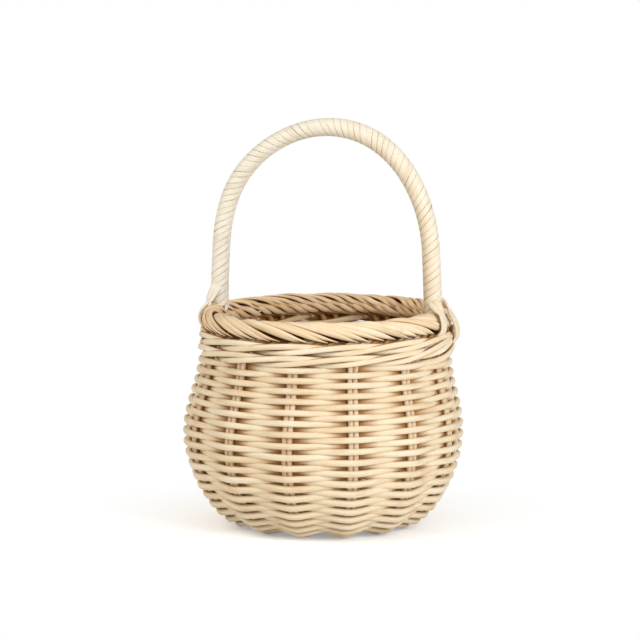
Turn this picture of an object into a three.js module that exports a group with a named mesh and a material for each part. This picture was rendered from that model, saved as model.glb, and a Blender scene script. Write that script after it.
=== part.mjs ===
// A small round basket of rattan rods with a wound arch handle, in millimetres, +Z up.
// The origin is on the basket's axis, on the surface that it stands on. The handle lies in the XZ plane.
// Places on the woven body are polar: an angle round the axis, and a point (r, z) in the meridian plane.
// Every rod is its own closed solid, and rods that touch on the real basket lie a clearance apart.

import * as THREE from "three";

// Counts
const stakePositions = 13; // an odd number, so that plain weaving alternates from row to row
const strandsPerPosition = 4; // a pair of stakes and a pair of bye-stakes
const floorRods = 2;
const sideRods = 5;
const waleRods = 3;
const waleRows = 4;
const turnRows = 2; // flat rows beyond the floor, where the wall turns up
const wrapStrands = 5;
const wrapTurns = 14;
const wrapSides = 8;
const curveSteps = 40;

// Rods and peel
const clearance = 0.3;
const stakeDiameter = 2.8;
const weaverDiameter = 2.7;
const floorWeaverThickness = 2.2; // the weavers of the floor are pressed flat

// Wall: the surface that holds the centre lines of the stakes
const bellyRadius = 76;
const floorShare = 0.605; // of the belly's radius
const neckShare = 0.9; // of the belly's radius
const bellyHeight = 54;
const shoulderHeight = 46; // from the belly up to the neck
const neckLength = 12.6; // from the shoulder up to the top of the wale
const bowlShare = 1.3; // how fast the bowl swells out of the floor, 1 being an ellipse
const crossRoomShare = 1.03; // room between the pairs that cross at the centre
const turnRoom = 0.5; // extra room round the floor, where the weavers change from flat to round
const straying = 0.15; // how far a rod's straight runs may stray from the curve that they follow

// Border: a roll of strands wound about a ring
const rollInset = 2.5; // from the neck in to the ring
const rollCoil = 4.6; // from the middle of the roll to the centre lines of its strands
const stubHeight = 2.2; // from the wale up to the lowest strands of the roll
const rollAdvance = THREE.MathUtils.degToRad(57); // travel round the basket in a full turn about the roll
const strandReach = THREE.MathUtils.degToRad(310); // turn about the roll, from its bottom to the strand's tip
const strandSteps = 8;
const strandsLeant = 5; // strand places between a strand's root and where it crosses the top

// Handle
const coreDiameter = 7.8;
const legHeight = 32;
const handleLean = 0.7; // how far each leg leans in
const archRise = 71.3;
const peelThickness = 0.8;
const wrapClearance = 0.5; // more than elsewhere, because the peel is flat and the core is bent
const wrapGap = 0.5; // between neighbouring strands, along the core
const tongueWidth = 6;
const tongueThickness = 1;
const lashingWidth = 4.4;
const lashingStart = THREE.MathUtils.degToRad(70); // turn about the roll, from its bottom
const lashingEnd = THREE.MathUtils.degToRad(300);
const lashingSteps = 10;

// Places that follow from the sizes above
const stakePitch = stakeDiameter + clearance;
const stakeStep = (2 * Math.PI) / stakePositions;
const strandCount = stakePositions * strandsPerPosition;
const strandStep = (2 * Math.PI) / strandCount;
const floorSeat = stakeDiameter / 2 + clearance + straying + floorWeaverThickness / 2;
const wallSeat = stakeDiameter / 2 + clearance + weaverDiameter / 2;
const floorHeight = floorSeat + floorWeaverThickness / 2;
const floorRadius = bellyRadius * floorShare;
const neckRadius = bellyRadius * neckShare;
const neckHeight = bellyHeight + shoulderHeight;
const waleTop = neckHeight + neckLength;
const layerRise = stakePitch / 2;
const crossRadius = (2 * stakePitch * crossRoomShare) / (Math.cos(2 * stakeStep) - Math.cos(3 * stakeStep));
const levelRadius = crossRadius + stakeDiameter;
const firstRow = levelRadius + clearance + weaverDiameter / 2;
const rollRadius = neckRadius - rollInset;
const rollHeight = waleTop + stubHeight + rollCoil;
const rollOuter = rollCoil + stakeDiameter / 2;
const footHeight = rollHeight + rollOuter + clearance;
const springHeight = footHeight + legHeight;
const archHalfSpan = rollRadius - handleLean;

// Materials
function rattan(color) {
  return new THREE.MeshStandardMaterial({ color, roughness: 0.6, metalness: 0 });
}
const stakeRattan = rattan(0xdcc096);
const weaverRattan = rattan(0xe9d5ad);
const waleRattan = rattan(0xe6cfa2);
const strandRattan = rattan(0xdfc593);
const coreRattan = rattan(0xd8bb8c);
const peel = rattan(0xf0e6cf);

const basket = new THREE.Group();

function add(name, geometry, material) {
  const mesh = new THREE.Mesh(geometry, material);
  mesh.name = name;
  basket.add(mesh);
}

// A closed solid from rings of points, with a flat cap at each end and its faces out.
function loft(rings) {
  const sides = rings[0].length;
  const faces = [];
  for (let ring = 0; ring < rings.length - 1; ring++) {
    for (let side = 0; side < sides; side++) {
      const next = (side + 1) % sides;
      const low = ring * sides;
      const high = low + sides;
      faces.push([low + side, low + next, high + next]);
      faces.push([low + side, high + next, high + side]);
    }
  }
  const last = (rings.length - 1) * sides;
  for (let side = 1; side < sides - 1; side++) {
    faces.push([0, side + 1, side]);
    faces.push([last, last + side, last + side + 1]);
  }
  const points = rings.flat();
  let volume = 0;
  for (const [a, b, c] of faces) {
    volume += points[a].dot(new THREE.Vector3().crossVectors(points[b], points[c]));
  }
  const outward = volume > 0 ? faces : faces.map(([a, b, c]) => [a, c, b]);
  const geometry = new THREE.BufferGeometry().setFromPoints(points);
  geometry.setIndex(outward.flat());
  geometry.computeVertexNormals();
  return geometry;
}

// Rod sections, as points across the wall and along it: a round rod has a corner on each side
function roundSection(diameter) {
  const half = diameter / 2;
  return [
    [half, 0],
    [0, half],
    [-half, 0],
    [0, -half],
  ];
}

function flatSection(thickness, width) {
  return [
    [thickness / 2, -width / 2],
    [thickness / 2, width / 2],
    [-thickness / 2, width / 2],
    [-thickness / 2, -width / 2],
  ];
}

// A plane line that is asked for a place by its length so far. The normal is on its right.
function trace(points) {
  const lengths = [0];
  for (let i = 1; i < points.length; i++) {
    lengths.push(lengths[i - 1] + points[i].distanceTo(points[i - 1]));
  }
  const tangents = points.map((point, i) => {
    const before = points[Math.max(i - 1, 0)];
    const after = points[Math.min(i + 1, points.length - 1)];
    return after.clone().sub(before).normalize();
  });
  const length = lengths[lengths.length - 1];
  function at(along) {
    let i = 1;
    while (i < points.length - 1 && lengths[i] < along) i++;
    const part = (along - lengths[i - 1]) / (lengths[i] - lengths[i - 1]);
    const point = points[i - 1].clone().lerp(points[i], part);
    const tangent = tangents[i - 1].clone().lerp(tangents[i], part).normalize();
    const normal = new THREE.Vector2(tangent.y, -tangent.x);
    return { point, tangent, normal };
  }
  // Lengths from one place to another, close enough for straight runs between them
  function stations(from, to) {
    const found = [from];
    let left = from;
    let passed = from;
    for (const along of [...lengths.filter((length) => length > from && length < to), to]) {
      const turn = Math.abs(at(left).tangent.cross(at(along).tangent));
      if ((turn * (along - left)) / 8 > straying) {
        found.push(passed);
        left = passed;
      }
      passed = along;
    }
    return [...found, to];
  }
  return { at, stations, length };
}

function polar(r, z, angle) {
  return new THREE.Vector3(r * Math.cos(angle), r * Math.sin(angle), z);
}

// The wall's meridian: a flat floor, a bowl, a shoulder drawn in to the neck, and an upright neck
function wallPoints() {
  const points = [];
  for (let i = 0; i < curveSteps; i++) {
    points.push(new THREE.Vector2((floorRadius * i) / curveSteps, floorHeight));
  }
  for (let i = 0; i < curveSteps; i++) {
    const turn = (Math.PI / 2) * (i / curveSteps);
    const r = floorRadius + (bellyRadius - floorRadius) * Math.sin(turn) ** bowlShare;
    const z = floorHeight + (bellyHeight - floorHeight) * (1 - Math.cos(turn));
    points.push(new THREE.Vector2(r, z));
  }
  for (let i = 0; i <= curveSteps; i++) {
    const drop = (1 - Math.cos((Math.PI * i) / curveSteps)) / 2;
    const r = bellyRadius - (bellyRadius - neckRadius) * drop;
    const z = bellyHeight + ((neckHeight - bellyHeight) * i) / curveSteps;
    points.push(new THREE.Vector2(r, z));
  }
  points.push(new THREE.Vector2(neckRadius, waleTop));
  return points;
}
const wall = trace(wallPoints());

// Rows: one spiral from the centre of the floor to the top of the wale, counted in stakes passed
const rowRoom = wall.length - weaverDiameter / 2 - turnRoom - firstRow;
const rows = Math.floor(rowRoom / (weaverDiameter + clearance));
const rowPitch = rowRoom / rows;
const floorRows = Math.round((floorRadius - firstRow) / rowPitch) + turnRows;
const floorEnd = floorRows * stakePositions;
const waleEnd = rows * stakePositions;
const sideEnd = waleEnd - waleRows * stakePositions;
const waleStart = wall.length - waleRows * rowPitch - weaverDiameter / 2;

function spiralAlong(count) {
  const room = count < floorEnd ? 0 : turnRoom;
  return firstRow + room + (rowPitch * count) / stakePositions;
}

// The strands part at both feet of the handle to let its tongues in
const rollSlope = Math.atan2(2 * Math.PI * rollCoil, rollAdvance * rollRadius);
const tongueRoom = (tongueThickness / 2 + clearance + stakeDiameter / 2) / Math.sin(rollSlope) / rollRadius;
const strandParting = Math.max(0, 2 * (tongueRoom - strandStep / 2));

function strandAngle(strand) {
  const place = (strand + 1 / 2) * strandStep;
  const crossing = place + strandsLeant * strandStep;
  const sinceFoot = THREE.MathUtils.euclideanModulo(crossing, Math.PI) / Math.PI;
  return place + strandParting * (1 / 2 - sinceFoot);
}

// How far a weaver stays flat to each side of a stake, counted in stakes
function flatReach(stake, style) {
  return style.flatHalf / (wall.at(spiralAlong(stake)).point.x * stakeStep);
}

// How far off the wall line a weaver passes a stake: with a flat over the pair, or else with a peak
// that is high enough for the straight runs beside it to clear the pair
function standOff(stake, style, radius, slant) {
  const spacing = radius * stakeStep;
  const level = style.sideOf(stake) * style.seat;
  if (style.flatHalf > 0) return level + (style.flatHalf ** 2 * slant) / (2 * radius);
  const half = stakePitch / 2;
  const bulge = (half * (spacing - half) * slant) / (2 * radius);
  return (level + bulge) / (1 - stakePitch / spacing);
}

// A row takes its slope from its inner edge, so that none reaches below the floor where the wall turns up
function weaverPlace(count, style) {
  const along = spiralAlong(count);
  const { point } = wall.at(along);
  const { tangent, normal } = wall.at(along - weaverDiameter / 2);
  const stake = Math.floor(count);
  const leave = stake + flatReach(stake, style);
  const arrive = stake + 1 - flatReach(stake + 1, style);
  const past = THREE.MathUtils.clamp((count - leave) / (arrive - leave), 0, 1);
  const ends = [stake, stake + 1].map((end) => standOff(end, style, point.x, normal.x));
  return { point, tangent, normal, offset: THREE.MathUtils.lerp(ends[0], ends[1], past) };
}

function weaverRing(count, style) {
  const { point, tangent, normal, offset } = weaverPlace(count, style);
  return style.section.map(([across, along]) => {
    const corner = point.clone().addScaledVector(normal, offset + across).addScaledVector(tangent, along);
    return polar(corner.x, corner.y, count * stakeStep);
  });
}

// A weaver from one count of stakes to another, with a gap at each end to the rod before and after
function weaver(from, to, style) {
  const gap = clearance / (wall.at(spiralAlong(from)).point.x * stakeStep);
  const start = from + gap;
  const end = to - gap;
  const counts = [start];
  for (let stake = Math.floor(from); stake <= Math.ceil(to); stake++) {
    const flat = flatReach(stake, style);
    for (const count of flat > 0 ? [stake - flat, stake + flat] : [stake]) {
      if (count > start && count < end) counts.push(count);
    }
  }
  counts.push(end);
  return loft(counts.map((count) => weaverRing(count, style)));
}

// Plain weaving goes over one pair and under the next, the wale over two and under one
const overOne = (stake) => (stake % 2 === 0 ? 1 : -1);
const overTwo = (stake) => ((stake - sideEnd) % 3 < 2 ? 1 : -1);
const floorStyle = {
  section: flatSection(floorWeaverThickness, weaverDiameter),
  seat: floorSeat,
  flatHalf: stakePitch / 2 + clearance,
  sideOf: overOne,
};
const wallStyle = { section: roundSection(weaverDiameter), seat: wallSeat, flatHalf: 0, sideOf: overOne };
const waleStyle = {
  section: roundSection(weaverDiameter),
  seat: wallSeat,
  flatHalf: (neckRadius * (strandStep + strandParting)) / 2 + clearance,
  sideOf: overTwo,
};

// Each band is woven with several rods, and one rod follows another behind a stake
function addWeavers(name, rods, from, to, style, material) {
  const behind = (count) => {
    while (style.sideOf(count) > 0) count++;
    return count;
  };
  let start = from;
  for (let rod = 1; rod <= rods; rod++) {
    const end = rod < rods ? behind(Math.round(THREE.MathUtils.lerp(from, to, rod / rods))) : to;
    add(`${name}_${rod}`, weaver(start, end, style), material);
    start = end;
  }
}
addWeavers("floor_weaver", floorRods, 0, floorEnd, floorStyle, weaverRattan);
addWeavers("side_weaver", sideRods, floorEnd, sideEnd, wallStyle, weaverRattan);
addWeavers("wale_rod", waleRods, sideEnd, waleEnd, waleStyle, waleRattan);

// A rod along a path of places, each a point and the direction that the section's first corner faces
function rod(path, diameter) {
  const rings = path.map(({ point, facing }, i) => {
    const before = path[Math.max(i - 1, 0)].point;
    const after = path[Math.min(i + 1, path.length - 1)].point;
    const tangent = after.clone().sub(before).normalize();
    const normal = facing.clone().addScaledVector(tangent, -facing.dot(tangent)).normalize();
    const side = new THREE.Vector3().crossVectors(tangent, normal);
    return roundSection(diameter).map(([across, along]) =>
      point.clone().addScaledVector(normal, across).addScaledVector(side, along),
    );
  });
  return loft(rings);
}

// A strand of the border: up from the wale, in under the roll, up its inner side, over and down outside
function strandPath(strand, stubShare) {
  const angle = strandAngle(strand);
  const leant = strandsLeant * strandStep - rollAdvance / 2;
  const path = [];
  const foot = new THREE.Vector2(neckRadius, waleTop + clearance);
  const bottom = new THREE.Vector2(rollRadius, rollHeight - rollCoil);
  const root = foot.lerp(bottom, stubShare);
  const rootAngle = angle + leant * stubShare;
  path.push({ point: polar(root.x, root.y, rootAngle), facing: polar(1, 0, rootAngle) });
  for (let step = 0; step <= strandSteps; step++) {
    const turn = (strandReach * step) / strandSteps;
    const r = rollRadius - rollCoil * Math.sin(turn);
    const z = rollHeight - rollCoil * Math.cos(turn);
    const here = angle + leant + (rollAdvance * turn) / (2 * Math.PI);
    path.push({ point: polar(r, z, here), facing: polar(Math.cos(turn), -Math.sin(turn), here) });
  }
  return path;
}

// A stake of a pair, from the edge of the centre cross out along the floor, up the wall and round the roll
function stakePath(position, side) {
  const centre = position * stakeStep;
  const strand = position * strandsPerPosition + (side > 0 ? 0 : -1);
  const spread = (strandAngle(strand) - centre) * side * neckRadius;
  const stations = [...wall.stations(levelRadius, waleStart), wall.length];
  const rise = stations.map((along) => {
    const { point, normal } = wall.at(along);
    const spreading = Math.max(0, (along - waleStart) / (wall.length - waleStart));
    const aside = THREE.MathUtils.lerp(stakePitch / 2, spread, spreading);
    const angle = centre + side * Math.asin(aside / point.x);
    return { point: polar(point.x, point.y, angle), facing: polar(normal.x, normal.y, angle) };
  });
  return [...rise.slice(0, -1), ...strandPath(strand, 0)];
}

// Where a pair's centre line crosses from one arm to another, a rod beside it turns on the mitre
function crossPlaces(from, to, side, layer) {
  const ends = [from, to].map((position) => polar(crossRadius, 0, position * stakeStep));
  const up = new THREE.Vector3(0, 0, 1);
  const inward = ends[0].clone().negate().normalize();
  const across = ends[1].clone().sub(ends[0]).normalize();
  const outward = ends[1].clone().normalize();
  const left = (direction) => new THREE.Vector3().crossVectors(up, direction);
  const mitre = (one, other) => {
    const sum = left(one).add(left(other));
    return sum.multiplyScalar((side * stakePitch) / sum.lengthSq());
  };
  const height = floorHeight + layer * layerRise;
  return [
    ends[0].add(mitre(inward, across)).setZ(height),
    ends[1].add(mitre(across, outward)).setZ(height),
  ].map((point) => ({ point, facing: up.clone().negate() }));
}

// Arms of the pairs that cross the floor: three pairs below, and three above across them. The last
// position has a pair of half length.
const crossings = [
  { arms: [1, 5], layer: -1 },
  { arms: [0, 6], layer: -1 },
  { arms: [-1, -5], layer: -1 },
  { arms: [-2, 2], layer: 1 },
  { arms: [-3, 3], layer: 1 },
  { arms: [-4, 4], layer: 1 },
];
crossings.forEach(({ arms: [from, to], layer }, i) => {
  for (const [letter, side] of [["a", 1], ["b", -1]]) {
    const inbound = stakePath(from, -side).reverse();
    const path = [...inbound, ...crossPlaces(from, to, side, layer), ...stakePath(to, side)];
    add(`through_stake_${i + 1}${letter}`, rod(path, stakeDiameter), stakeRattan);
  }
});
for (const [letter, side] of [["a", 1], ["b", -1]]) {
  const path = stakePath((stakePositions + 1) / 2, side);
  add(`half_stake_${letter}`, rod(path, stakeDiameter), stakeRattan);
}

// Bye-stakes: the two outer strands of each position, from just above the wale
const byeRise = waleTop + clearance + stakeDiameter / 2;
const byeShare = (byeRise - waleTop - clearance) / (rollHeight - rollCoil - waleTop - clearance);
for (let position = 0; position < stakePositions; position++) {
  for (const [letter, place] of [["a", -2], ["b", 1]]) {
    const strand = position * strandsPerPosition + place;
    const name = `bye_stake_${String(position + 1).padStart(2, "0")}${letter}`;
    add(name, rod(strandPath(strand, byeShare), stakeDiameter), strandRattan);
  }
}

// Handle: up the leg on the +X side, over the arch and down the other leg
function handlePoints() {
  const points = [new THREE.Vector2(rollRadius, footHeight)];
  for (let i = 0; i <= curveSteps; i++) {
    const turn = (Math.PI * i) / curveSteps;
    points.push(new THREE.Vector2(archHalfSpan * Math.cos(turn), springHeight + archRise * Math.sin(turn)));
  }
  points.push(new THREE.Vector2(-rollRadius, footHeight));
  return points;
}
const handle = trace(handlePoints());

function handlePoint(along, radius, turn) {
  const { point, normal } = handle.at(along);
  const out = point.addScaledVector(normal, radius * Math.cos(turn));
  return new THREE.Vector3(out.x, radius * Math.sin(turn), out.y);
}

// Core: one cane, each end cut down to a flat tongue that lies along the parted strands inside the roll
function coreRings() {
  const turns = Array.from({ length: wrapSides }, (_, i) => (2 * Math.PI * i) / wrapSides);
  const hollow = rollCoil - stakeDiameter / 2;
  const tongueHalf = (tongueWidth / 2) * Math.sin(rollSlope);
  const tip = rollHeight - Math.sqrt(hollow ** 2 - tongueHalf ** 2) + clearance;
  const tongue = (along, height, bearing) =>
    turns.map((turn) => {
      const long = (tongueWidth / 2) * Math.cos(turn - bearing);
      const thin = (tongueThickness / 2) * Math.sin(turn - bearing);
      const out = long * Math.cos(bearing) - thin * Math.sin(bearing);
      const back = long * Math.sin(bearing) + thin * Math.cos(bearing);
      const { point, normal } = handle.at(along);
      return new THREE.Vector3(point.x + Math.sign(normal.x) * out, back, height);
    });
  const bearing = Math.PI / 2 - rollSlope;
  const shaft = handle.stations(0, handle.length).map((along) =>
    turns.map((turn) => handlePoint(along, coreDiameter / 2, turn)),
  );
  return [
    tongue(0, tip, bearing),
    tongue(0, footHeight, bearing),
    ...shaft,
    tongue(handle.length, footHeight, -bearing),
    tongue(handle.length, tip, -bearing),
  ];
}
add("handle_core", loft(coreRings()), coreRattan);

// Wrap: flat strands of peel wound round the core side by side, each one an unbroken helix
const wrapLead = (handle.length + wrapGap) / (wrapTurns + 1 / wrapStrands);
const wrapWidth = wrapLead / wrapStrands - wrapGap;
const wrapInner = coreDiameter / 2 + wrapClearance;
const wrapOuter = wrapInner + peelThickness;

function wrapRings(strand) {
  const rings = [];
  for (let step = 0; step <= wrapTurns * wrapSides; step++) {
    const turn = 2 * Math.PI * (step / wrapSides + strand / wrapStrands);
    const low = (wrapLead * step) / wrapSides;
    const high = low + wrapWidth;
    rings.push([
      handlePoint(low, wrapInner, turn),
      handlePoint(high, wrapInner, turn),
      handlePoint(high, wrapOuter, turn),
      handlePoint(low, wrapOuter, turn),
    ]);
  }
  return rings;
}

// The least gap between one turn of a strand and its next
function leastGap(rings) {
  const gaps = rings.slice(wrapSides).flatMap((ring, i) => [
    ring[0].distanceTo(rings[i][1]),
    ring[3].distanceTo(rings[i][2]),
  ]);
  return Math.min(...gaps);
}

for (let strand = 0; strand < wrapStrands; strand++) {
  const name = `handle_wrap_${strand + 1}`;
  const rings = wrapRings(strand);
  console.log(`${name}: least gap between its turns ${leastGap(rings).toFixed(2)} mm`);
  add(name, loft(rings), peel);
}

// Foot lashings: a strap of peel over the roll on each side of each foot
const lashingInner = rollOuter + clearance;
const lashingOuter = lashingInner + peelThickness;
const lashingAside = Math.asin((wrapOuter + clearance + lashingWidth / 2) / rollRadius);
for (const [foot, footAngle] of [["right", 0], ["left", Math.PI]]) {
  for (const [where, side] of [["far", 1], ["near", -1]]) {
    const angle = footAngle + lashingAside * side * Math.cos(footAngle);
    const tangential = polar(1, 0, angle + Math.PI / 2);
    const rings = [];
    for (let step = 0; step <= lashingSteps; step++) {
      const turn = THREE.MathUtils.lerp(lashingStart, lashingEnd, step / lashingSteps);
      const place = (radius, aside) => {
        const r = rollRadius - radius * Math.sin(turn);
        const z = rollHeight - radius * Math.cos(turn);
        return polar(r, z, angle).addScaledVector(tangential, aside);
      };
      rings.push([
        place(lashingInner, -lashingWidth / 2),
        place(lashingInner, lashingWidth / 2),
        place(lashingOuter, lashingWidth / 2),
        place(lashingOuter, -lashingWidth / 2),
      ]);
    }
    add(`foot_lashing_${foot}_${where}`, loft(rings), peel);
  }
}

export default basket;
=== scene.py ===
import math

import bpy
import numpy as np
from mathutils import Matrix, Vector


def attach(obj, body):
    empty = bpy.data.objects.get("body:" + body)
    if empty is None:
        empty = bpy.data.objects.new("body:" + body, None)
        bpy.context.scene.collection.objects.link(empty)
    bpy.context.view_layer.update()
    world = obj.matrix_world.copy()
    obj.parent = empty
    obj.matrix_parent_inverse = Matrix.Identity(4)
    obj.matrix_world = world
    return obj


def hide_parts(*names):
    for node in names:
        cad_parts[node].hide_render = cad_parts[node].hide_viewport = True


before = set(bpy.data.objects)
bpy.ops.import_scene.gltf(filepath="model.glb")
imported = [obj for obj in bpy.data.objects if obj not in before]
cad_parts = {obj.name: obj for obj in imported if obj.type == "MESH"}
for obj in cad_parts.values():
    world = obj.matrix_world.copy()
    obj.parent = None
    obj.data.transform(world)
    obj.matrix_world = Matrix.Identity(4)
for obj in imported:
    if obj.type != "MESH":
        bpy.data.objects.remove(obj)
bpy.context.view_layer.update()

MM = 0.001
TAU = 2 * math.pi
UP = np.array([0, 0, 1.0])
LEVEL = np.array([1.0, 1.0, 0])

# Counts, as in the part
POSITIONS = 13
STRANDS_AT_POSITION = 4
FLOOR_RODS = 2
SIDE_RODS = 5
WALE_RODS = 3
WALE_ROWS = 4
TURN_ROWS = 2
WRAP_STRANDS = 5

# Rods, as in the part
CLEARANCE = 0.3
STAKE = 2.8
WEAVER = 2.7
FLOOR_WEAVER = 2.2
STRAYING = 0.15

# Wall, as in the part
BELLY_RADIUS = 76
FLOOR_SHARE = 0.605
NECK_SHARE = 0.9
BELLY_HEIGHT = 54
SHOULDER_HEIGHT = 46
NECK_LENGTH = 12.6
BOWL_SHARE = 1.3
CROSS_ROOM_SHARE = 1.03
TURN_ROOM = 0.5

# Border and handle, as in the part
ROLL_INSET = 2.5
ROLL_COIL = 4.6
STUB_HEIGHT = 2.2
ROLL_ADVANCE = math.radians(57)
STRANDS_LEANT = 5
CORE = 7.8
LEG_HEIGHT = 32
HANDLE_LEAN = 0.7
ARCH_RISE = 71.3
TONGUE = 1

# Places that follow from the sizes above
PITCH = STAKE + CLEARANCE
STEP = TAU / POSITIONS
STRAND_STEP = TAU / (POSITIONS * STRANDS_AT_POSITION)
FLOOR_HEIGHT = STAKE / 2 + CLEARANCE + STRAYING + FLOOR_WEAVER
FLOOR_RADIUS = FLOOR_SHARE * BELLY_RADIUS
NECK_RADIUS = NECK_SHARE * BELLY_RADIUS
NECK_HEIGHT = BELLY_HEIGHT + SHOULDER_HEIGHT
WALE_TOP = NECK_HEIGHT + NECK_LENGTH
CROSS_RADIUS = 2 * PITCH * CROSS_ROOM_SHARE / (math.cos(2 * STEP) - math.cos(3 * STEP))
LEVEL_RADIUS = CROSS_RADIUS + STAKE
ROLL_RADIUS = NECK_RADIUS - ROLL_INSET
ROLL_HEIGHT = WALE_TOP + STUB_HEIGHT + ROLL_COIL
FOOT_HEIGHT = ROLL_HEIGHT + ROLL_COIL + STAKE / 2 + CLEARANCE
SPRING_HEIGHT = FOOT_HEIGHT + LEG_HEIGHT
ARCH_HALF_SPAN = ROLL_RADIUS - HANDLE_LEAN

# Seeds: each rod has its own draws, and the same ones in each run
FLOOR_SEED = 100
SIDE_SEED = 200
WALE_SEED = 300
STRAND_SEED = 900
HALF_STAKE_SEED = 70
BYE_STAKE_SEED = 200
WRAP_SEED = 500
SEAM_SEED = 600
SEEDS_PER_ROD = 10
OTHER_END_SEED = 5


# Shared curves and vectors
def smooth(x, low, high):
    """Rises from 0 at low to 1 at high, and is level at both ends."""
    x = np.clip((np.asarray(x, float) - low) / (high - low), 0, 1)
    return x * x * (3 - 2 * x)


def bell(x, middle, reach):
    """1 at the middle, and next to nothing at twice the reach from it."""
    return np.exp(-((x - middle) / reach) ** 2)


def wander(x, reach, seed, waves=5, slowest=0.4, quicker=0.7, fainter=0.5, most=1.6):
    """A smooth wander of about +-1 along x. Each of its waves is quicker and fainter than the one before."""
    draw = np.random.default_rng(seed)
    x = np.asarray(x, float)
    total = np.zeros_like(x)
    for i in range(waves):
        size = draw.normal()
        start = draw.uniform(0, TAU)
        total += size * np.sin(TAU * x / reach * (slowest + i * quicker) + start) / (1 + fainter * i)
    return total / most


def unit(vectors):
    return vectors / np.linalg.norm(vectors, axis=-1)[..., None]


def lengths(path):
    """The length of a path so far, at each of its points."""
    return np.concatenate([[0], np.cumsum(np.linalg.norm(np.diff(path, axis=0), axis=1))])


def polar(r, z, angle):
    r, z, angle = np.broadcast_arrays(r, z, angle)
    return np.stack([r * np.cos(angle), r * np.sin(angle), z], -1)


def spline(points, n):
    """A smooth curve through points (centripetal Catmull-Rom), as n points."""
    p = np.asarray(points, float)
    ext = np.vstack([2 * p[0] - p[1], p, 2 * p[-1] - p[-2]])
    chords = np.linalg.norm(np.diff(ext, axis=0), axis=1)
    knots = np.concatenate([[0], np.cumsum(chords ** 0.5)])
    out = []
    for x in np.linspace(knots[1], knots[-2], n):
        i = min(max(int(np.searchsorted(knots, x, side="right")) - 1, 1), len(p) - 1)
        t0, t1, t2, t3 = knots[i - 1:i + 3]
        p0, p1, p2, p3 = ext[i - 1:i + 3]
        a1 = (t1 - x) / (t1 - t0) * p0 + (x - t0) / (t1 - t0) * p1
        a2 = (t2 - x) / (t2 - t1) * p1 + (x - t1) / (t2 - t1) * p2
        a3 = (t3 - x) / (t3 - t2) * p2 + (x - t2) / (t3 - t2) * p3
        b1 = (t2 - x) / (t2 - t0) * a1 + (x - t0) / (t2 - t0) * a2
        b2 = (t3 - x) / (t3 - t1) * a2 + (x - t1) / (t3 - t1) * a3
        out.append((t2 - x) / (t2 - t1) * b1 + (x - t1) / (t2 - t1) * b2)
    return np.array(out)


class Line:
    """A plane line, asked for a place and its normal by its length so far. The normal is on its right."""

    def __init__(self, points):
        self.points = np.array(points, float)
        self.tangents = unit(np.gradient(self.points, axis=0))
        self.so_far = lengths(self.points)
        self.length = self.so_far[-1]

    def at(self, along):
        point, tangent = (np.stack([np.interp(along, self.so_far, line[:, i]) for i in (0, 1)], -1)
                          for line in (self.points, self.tangents))
        tangent = unit(tangent)
        return point, np.stack([tangent[..., 1], -tangent[..., 0]], -1)


# Wall: the centre line of the stakes. The weaving stands out beyond its plain frame over the belly and at
# the wale, but not on the floor. The place of a bell is its middle and its reach.
BELLY_SWELL = 0.9
BELLY_SWELL_PLACE = (52, 34)
WALE_SWELL = 0.3
WALE_SWELL_START = 88
SWELL_RADII = (40, 60)


def swell(r, z):
    belly = BELLY_SWELL * bell(z, *BELLY_SWELL_PLACE)
    wale = WALE_SWELL * smooth(z, WALE_SWELL_START, NECK_HEIGHT)
    return (belly + wale) * smooth(r, *SWELL_RADII)


def wall_points(n=160):
    points = [(FLOOR_RADIUS * i / n, FLOOR_HEIGHT) for i in range(n)]
    for i in range(n):
        turn = math.pi / 2 * i / n
        points.append((FLOOR_RADIUS + (BELLY_RADIUS - FLOOR_RADIUS) * math.sin(turn) ** BOWL_SHARE,
                       FLOOR_HEIGHT + (BELLY_HEIGHT - FLOOR_HEIGHT) * (1 - math.cos(turn))))
    for i in range(n + 1):
        drop = (1 - math.cos(math.pi * i / n)) / 2
        points.append((BELLY_RADIUS - (BELLY_RADIUS - NECK_RADIUS) * drop,
                       BELLY_HEIGHT + (NECK_HEIGHT - BELLY_HEIGHT) * i / n))
    points.append((NECK_RADIUS, WALE_TOP))
    return [(r + swell(r, z), z) for r, z in points]


WALL = Line(wall_points())

# Rows: one spiral from the floor's cross to the top of the wale, counted in stakes passed
FIRST_ROW = LEVEL_RADIUS + CLEARANCE + WEAVER / 2
ROW_ROOM = WALL.length - WEAVER / 2 - TURN_ROOM - FIRST_ROW
ROWS = int(ROW_ROOM // (WEAVER + CLEARANCE))
ROW_PITCH = ROW_ROOM / ROWS
FLOOR_ROWS = round((FLOOR_RADIUS - FIRST_ROW) / ROW_PITCH) + TURN_ROWS
FLOOR_END = FLOOR_ROWS * POSITIONS
SIDE_END = (ROWS - WALE_ROWS) * POSITIONS
WALE_START = WALL.length - WALE_ROWS * ROW_PITCH - WEAVER / 2

# How the maker left the basket. It leans along a line at this angle from the x axis: the belly one way, the
# rim the other. The top of the handle leans within the handle's own plane, and its legs draw in. The rim is
# higher at the back.
LEAN_ANGLE = math.radians(22)
BELLY_LEAN = -1.2
BELLY_LEAN_PLACE = (48, 30)
RIM_LEAN = 1.5
RIM_LEAN_PLACE = (111, 11)
BODY_LIMIT = 140
TOP_LEAN = 4.6
TOP_LEAN_START = 188
TOP_LEAN_RISE = 46
LEGS_DRAWN_IN = 0.012
LEGS_PLACE = (172, 24)
RIM_LIFT = 0.2
RIM_TILT = 0.8
RIM_FROM = (96, 114)
RIM_TO = (126, 150)


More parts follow.
